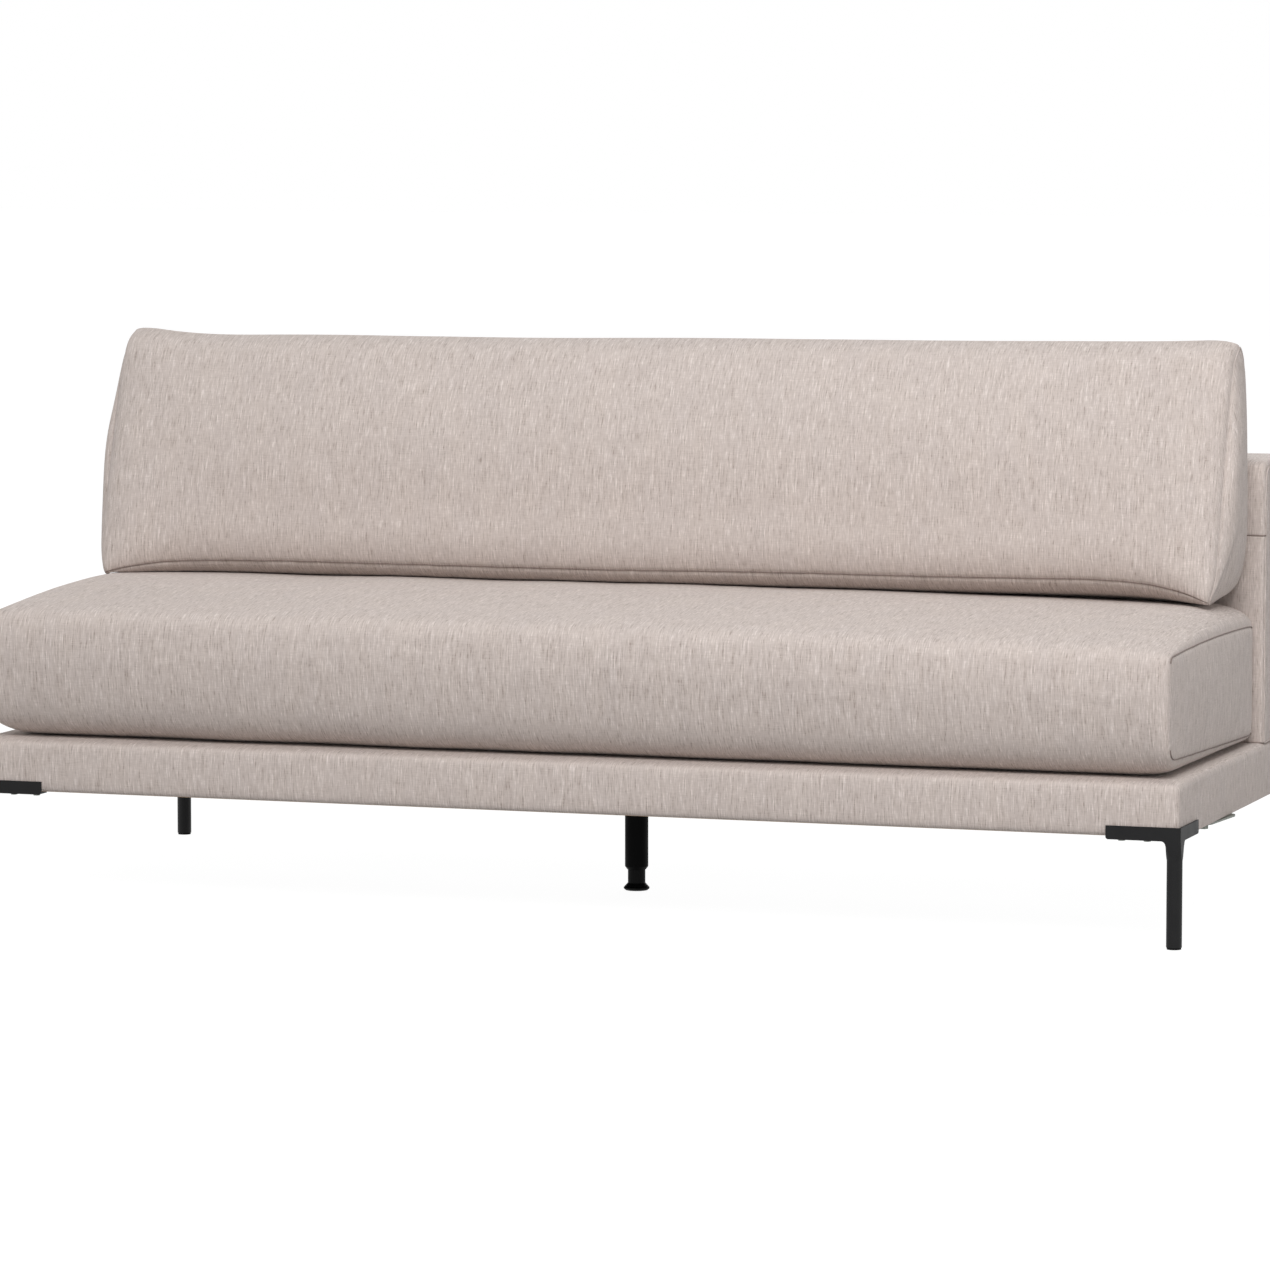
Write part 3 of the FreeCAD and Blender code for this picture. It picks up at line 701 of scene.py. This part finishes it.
# Back cushion
def back_ring(x):
    """Section of the back cushion: a wedge with a leaning front and a seam along its lower front edge."""
    inward = back_half - abs(x)
    ear = max(0.0, 1 - inward / back_ear_length) ** 3
    rise = back_ear_rise - math.copysign(back_left_ear_rise, x)
    drop = math.copysign(back_ear_drop, x)
    full = 1 - back_end_flattening * max(0.0, 1 - inward / back_even_length) ** 1.6
    turn = end_turn(x, back_half, back_roll_length)
    tilt = back_tilt * x / back_half
    inset = back_roll_front * turn
    seam = back_seam_height + tilt - drop * ear
    seam += back_wave_height * ripple((x, 0, 0), back_seam_wave_length, 1.7)
    seam_radius_here = back_seam_radius * (1 - back_ear_point * ear)
    rear_low = back_rear_height - drop * ear + back_roll_bottom * turn
    top = back_top_height + tilt + rise * ear - back_roll_top * turn
    top += back_wave_height * ripple((x, 0, 0), back_top_wave_length, 5.2)
    points, corners = outline((
        (back_rear, rear_low, back_rear_radius, 6, back_bottom_bow * (1 - ear), 18),
        (back_front_bottom + inset, seam, seam_radius_here, 32, back_front_bow * full, 24),
        (back_front_top + inset, top, back_top_radius, 8, back_top_bow, 8),
        (back_rear, top, back_rear_radius, 6, 0.0, 28)))
    tuck = math.copysign(back_heel_inset, x) * max(0.0, 1 - inward / back_heel_length) ** 2
    ring = [Vector((x + back_shift - tuck * max(0.0, 1 - (z - seam) / back_heel_height) ** 2, y, z))
            for y, z in points]
    return ring, corners[1]


def back_cushion(seat):
    xs = stations(back_half, back_fine_length, fine_steps=10, coarse_step=back_ring_step)
    rings = [back_ring(x) for x in xs]
    seam_column = rings[0][1]
    obj, size, seam_rows, panels = loft("back_cushion", [ring for ring, column in rings], back_end_bulge)
    pinned = [index for row in seam_rows for index in row_indices(size, row)]
    lower_seam = column_indices(size, seam_rows, seam_column)
    puff(obj, pinned + panels + lower_seam, back_hold)
    for vertex in obj.data.vertices:
        vertex.co.y = min(vertex.co.y, back_rear)
    rest_on(obj, seat)
    obj.data.update()
    side_thread = sink(obj, pinned, back_side_seam_share)
    thread = sink(obj, lower_seam)
    for row, side in zip(seam_rows, ("right", "left")):
        seam_line("back_" + side + "_seam", side_thread, row_indices(size, row), "back_cushion", True,
                  "upholstery fabric")
    seam_line("back_lower_seam", thread, lower_seam, "back_cushion", False)
    dress(obj, "back_cushion", "back_cushion_cover", "back_cushion_filling")
    zip_fastener("back_zip", "back_cushion_zip", "back_cushion")


def rest_on(obj, support):
    """Press the underside flat where it lies on the piece below."""
    bm = bmesh.new()
    bm.from_mesh(support.data)
    tree = BVHTree.FromBMesh(bm)
    bm.free()
    for vertex in obj.data.vertices:
        hit = tree.ray_cast(Vector((vertex.co.x, vertex.co.y, 1)), Vector((0, 0, -1)))[0]
        if hit is not None and vertex.co.z < hit.z + skin_clearance:
            vertex.co.z = hit.z + skin_clearance


def zip_block(bm, centre, size):
    """One block of a zip: its tape, a tooth or the slider."""
    for vertex in bmesh.ops.create_cube(bm, size=1)["verts"]:
        vertex.co = [middle + corner * length for middle, corner, length in zip(centre, vertex.co, size)]


def zip_fastener(name, node, body):
    """A zip in the rear of a cushion cover: cloth tape, a row of teeth and a slider."""
    low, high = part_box(node)
    length = high.x - low.x
    height = (low.z + high.z) / 2
    rear = high.y - zip_inset
    bm = bmesh.new()
    zip_block(bm, (0, rear - zip_tape_depth, height), (length, zip_tape_thickness, high.z - low.z))
    for x in spread(low.x + zip_end, high.x - zip_end, round(length / zip_tooth_pitch)):
        zip_block(bm, (x, rear - zip_tooth_depth, height), zip_tooth_size)
    zip_block(bm, (low.x + zip_slider_place, rear - zip_slider_depth, height), zip_slider_size)
    bmesh.ops.bevel(bm, geom=bm.edges[:], offset=zip_bevel, segments=1, affect="EDGES")
    mesh = bpy.data.meshes.new(name)
    bm.to_mesh(mesh)
    bm.free()
    obj = bpy.data.objects.new(name, mesh)
    bpy.context.collection.objects.link(obj)
    mesh.materials.append(materials["zip"])
    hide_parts(node)
    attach(obj, body)


# Upholstery of the backrest
def backrest_ring(x):
    """Section of the backrest, from the lower rear corner forwards, up over the front seam and back."""
    front, rear = backrest_low.y, backrest_high.y
    bottom, top, seam = backrest_low.z, backrest_high.z, backrest_seam_height
    end = backrest_edge_radius * end_turn(x, backrest_half, backrest_edge_radius)
    points, corners = outline((
        (rear - end, bottom, backrest_bottom_radius, 4, 0.0, 18),
        (front + end, bottom, backrest_bottom_radius, 4, backrest_bow, 26),
        (front + end, seam, backrest_seam_pinch, 4, backrest_bow, 8),
        (front + end, top - end, backrest_top_radius, 8, backrest_bow, 16),
        (rear - end, top - end, backrest_top_radius, 8, backrest_rear_bow, 32)))
    return [Vector((x, y, z)) for y, z in points], corners[2]


def backrest():
    xs = stations(backrest_half, backrest_fine_length, fine_steps=8, coarse_step=cover_ring_step)
    rings = [backrest_ring(x) for x in xs]
    seam_column = rings[0][1]
    sections = [ring for ring, column in rings]
    obj, size, seam_rows = loft("backrest_upholstery", sections, backrest_end_bulge)[:3]
    pinned = [index for row in seam_rows for index in row_indices(size, row)]
    front_seam = column_indices(size, seam_rows, seam_column)
    thread = sink(obj, set(pinned + front_seam))
    for row, side in zip(seam_rows, ("right", "left")):
        seam_line("backrest_" + side + "_seam", thread, row_indices(size, row), "frame", True,
                  "upholstery fabric")
    seam_line("backrest_front_seam", thread, front_seam, "frame", False)
    dress(obj, "frame", "backrest_cover", "backrest_padding")


# Upholstery of the base, open below for the dust cover
def base_ring(x):
    """Section of the base, from the rear edge of the recess below forwards, up and back."""
    end = base_top_radius * end_turn(x, base_half, base_top_radius)
    front, rear = base_low.y + end, base_high.y - end
    bottom, top = base_low.z, base_high.z - end
    recess = hem_recess if abs(x) < hem_inner else 0.0
    inner = sheet_high.y
    points = outline((
        (inner, bottom + recess, hem_edge_radius, 2, 0.0, 24),
        (-inner, bottom + recess, hem_edge_radius, 2, 0.0, 2),
        (-inner - hem_step, bottom, hem_fold_radius, 2, 0.0, 4),
        (front, bottom, base_bottom_radius, 8, base_bow, 10),
        (front, top - base_front_drop, base_top_radius, 8, 0.0, 8),
        (front + base_slope_length, top, base_slope_radius, 4, 0.0, 28),
        (rear, top, base_top_radius, 8, base_bow, 10),
        (rear, bottom, base_bottom_radius, 8, 0.0, 4),
        (inner + hem_step, bottom, hem_fold_radius, 2, 0.0, 2)))[0]
    return [Vector((x, y, z)) for y, z in points]


def base():
    xs = stations(base_half, base_fine_length, fine_steps=10, coarse_step=cover_ring_step)
    obj = loft("base_upholstery", [base_ring(x) for x in xs], base_end_bulge)[0]
    dress(obj, "frame", "base_cover", "base_padding")


def dust_sheet():
    """Black cloth stretched under the base."""
    columns, rows = sheet_columns, sheet_rows
    width = 2 * sheet_high.x - 2 * sheet_margin
    depth = 2 * sheet_high.y - 2 * sheet_margin
    vertices, faces = [], []
    for row in range(rows + 1):
        for column in range(columns + 1):
            x, y = width * (column / columns - 0.5), depth * (row / rows - 0.5)
            sag = sheet_ripple_height * ripple((x, y, 0), sheet_ripple_length, 7.3)
            vertices.append((x, y, sheet_low.z + sheet_lift + sag))
    for row in range(rows):
        for column in range(columns):
            corner = row * (columns + 1) + column
            faces.append((corner, corner + columns + 1, corner + columns + 2, corner + 1))
    obj = mesh_object("dust_sheet", vertices, faces)
    obj.modifiers.new("thickness", "SOLIDIFY").thickness = sheet_thickness
    obj.data.materials.append(materials["dust cover cloth"])
    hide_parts("dust_cover")
    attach(obj, "frame")


def paint_frame():
    """Give every node of the frame its own look, or else that of its slot."""
    for row in frame["record"]["subparts"]:
        node = frame["nodes"][row["node"]]
        node.data.materials.clear()
        node.data.materials.append(materials.get(row["node"], materials[row["material_slot"]]))


# Studio
def background_seen(nodes, links):
    """1 for rays that show the background: from the camera, off gloss and through glass."""
    path = nodes.new("ShaderNodeLightPath")
    seen = path.outputs["Is Camera Ray"]
    for kind in ("Is Glossy Ray", "Is Transmission Ray"):
        seen = math_node(nodes, links, "MAXIMUM", seen, path.outputs[kind])
    return seen


def studio_floor():
    material, nodes, links, shader = new_material("studio_floor")
    shader.inputs["Base Color"].default_value = grey(0.5)
    shader.inputs["Roughness"].default_value = 0.9
    glow = nodes.new("ShaderNodeEmission")
    glow.inputs["Strength"].default_value = floor_glow
    share = math_node(nodes, links, "MULTIPLY", background_seen(nodes, links), floor_glow_share)
    blend = nodes.new("ShaderNodeMixShader")
    links.new(share, blend.inputs[0])
    links.new(shader.outputs[0], blend.inputs[1])
    links.new(glow.outputs[0], blend.inputs[2])
    links.new(blend.outputs[0], nodes["Material Output"].inputs["Surface"])
    corners = [(floor_reach * x, floor_reach * y, 0) for x, y in ((-1, -1), (1, -1), (1, 1), (-1, 1))]
    floor = mesh_object("studio_floor", corners, [(0, 1, 2, 3)])
    floor.data.materials.append(material)


def studio_world():
    world = bpy.data.worlds.new("studio")
    bpy.context.scene.world = world
    world.use_nodes = True
    nodes, links = world.node_tree.nodes, world.node_tree.links
    strength = mixed(nodes, links, "FLOAT", background_seen(nodes, links), world_light, 1.0)
    links.new(strength, nodes["Background"].inputs["Strength"])
    nodes["Background"].inputs["Color"].default_value = grey(1)


def soft_lamp(name, place, target, size, power, colour):
    lamp = bpy.data.lights.new(name, "AREA")
    lamp.shape = "RECTANGLE"
    lamp.size, lamp.size_y = size
    lamp.energy = power
    lamp.color = colour
    obj = bpy.data.objects.new(name, lamp)
    obj.location = place
    obj.rotation_euler = (Vector(target) - Vector(place)).to_track_quat("-Z", "Y").to_euler()
    bpy.context.collection.objects.link(obj)


def studio_camera():
    camera = bpy.data.cameras.new("camera")
    camera.sensor_width = camera_sensor
    camera.lens = camera_lens
    camera.clip_end = 200
    obj = bpy.data.objects.new("camera", camera)
    obj.location = camera_place
    obj.rotation_euler = (math.radians(90 - camera_pitch), 0, math.radians(camera_heading))
    bpy.context.collection.objects.link(obj)
    bpy.context.scene.camera = obj


paint_frame()
back_cushion(seat_cushion())
backrest()
base()
dust_sheet()
studio_floor()
studio_world()
soft_lamp("key", (2.0, -5.0, 4.6), (0.4, 0, 0.4), (3.2, 2.2), 275, (1, 0.99, 0.985))
soft_lamp("top", (0.6, -1.0, 4.6), (0.3, -0.2, 0.4), (4.0, 2.4), 38, (0.9, 0.97, 1))
soft_lamp("right", (5.4, -1.6, 1.6), (0.9, 0, 0.45), (2.0, 1.6), 16, (1, 0.98, 0.98))
soft_lamp("left", (-5.4, 0.6, 1.8), (-0.9, 0, 0.45), (2.0, 1.6), 45, (1, 0.99, 0.98))
soft_lamp("rear", (-1.0, 6.4, 1.9), (0, 0.4, 0.4), (3.6, 1.6), 150, (1, 0.99, 0.985))
studio_camera()

bpy.context.scene.view_settings.view_transform = "Standard"
